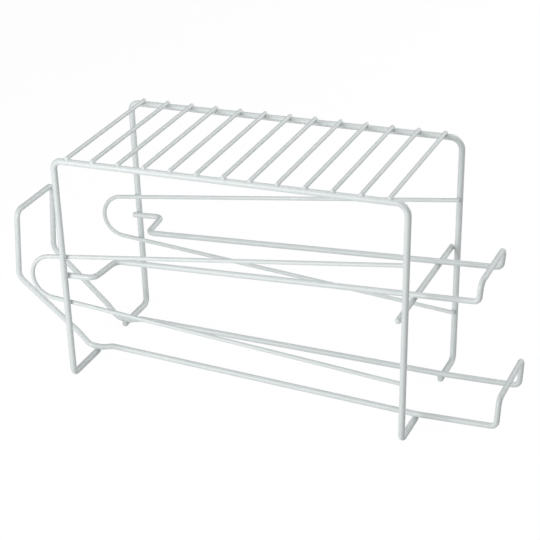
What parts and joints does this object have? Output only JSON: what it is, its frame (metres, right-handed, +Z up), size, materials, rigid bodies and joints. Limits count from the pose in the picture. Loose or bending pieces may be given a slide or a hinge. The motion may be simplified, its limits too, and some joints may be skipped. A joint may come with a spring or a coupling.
{
  "type": "can dispenser",
  "caption": "Free-standing tiered rack of welded white coated wire: cans roll back down the upper tier, drop at the rear hoop and roll forward to the lower lip, under a wire shelf.",
  "frame": {"origin": "on the floor, under the middle of the overall box", "axes": "+X points to the front, where cans go in and come out; +Y to the right as seen from the front; +Z up"},
  "size_m": [0.4258, 0.1456, 0.2062],
  "materials": {
    "coated_wire": "cool white semi-gloss coating on steel wire, a little thicker at the welds"
  },
  "bodies": {
    "root": {"side_frame_left": "coated_wire", "side_frame_right": "coated_wire", "shelf_wire_01": "coated_wire", "shelf_wire_02": "coated_wire", "shelf_wire_03": "coated_wire", "shelf_wire_04": "coated_wire", "shelf_wire_05": "coated_wire", "shelf_wire_06": "coated_wire", "shelf_wire_07": "coated_wire", "shelf_wire_08": "coated_wire", "shelf_wire_09": "coated_wire", "shelf_wire_10": "coated_wire", "shelf_wire_11": "coated_wire", "shelf_wire_12": "coated_wire", "shelf_wire_13": "coated_wire", "upper_tier": "coated_wire", "tier_support": "coated_wire", "lower_tier": "coated_wire", "guard_left": "coated_wire", "guard_right": "coated_wire"}
  },
  "joints": []
}
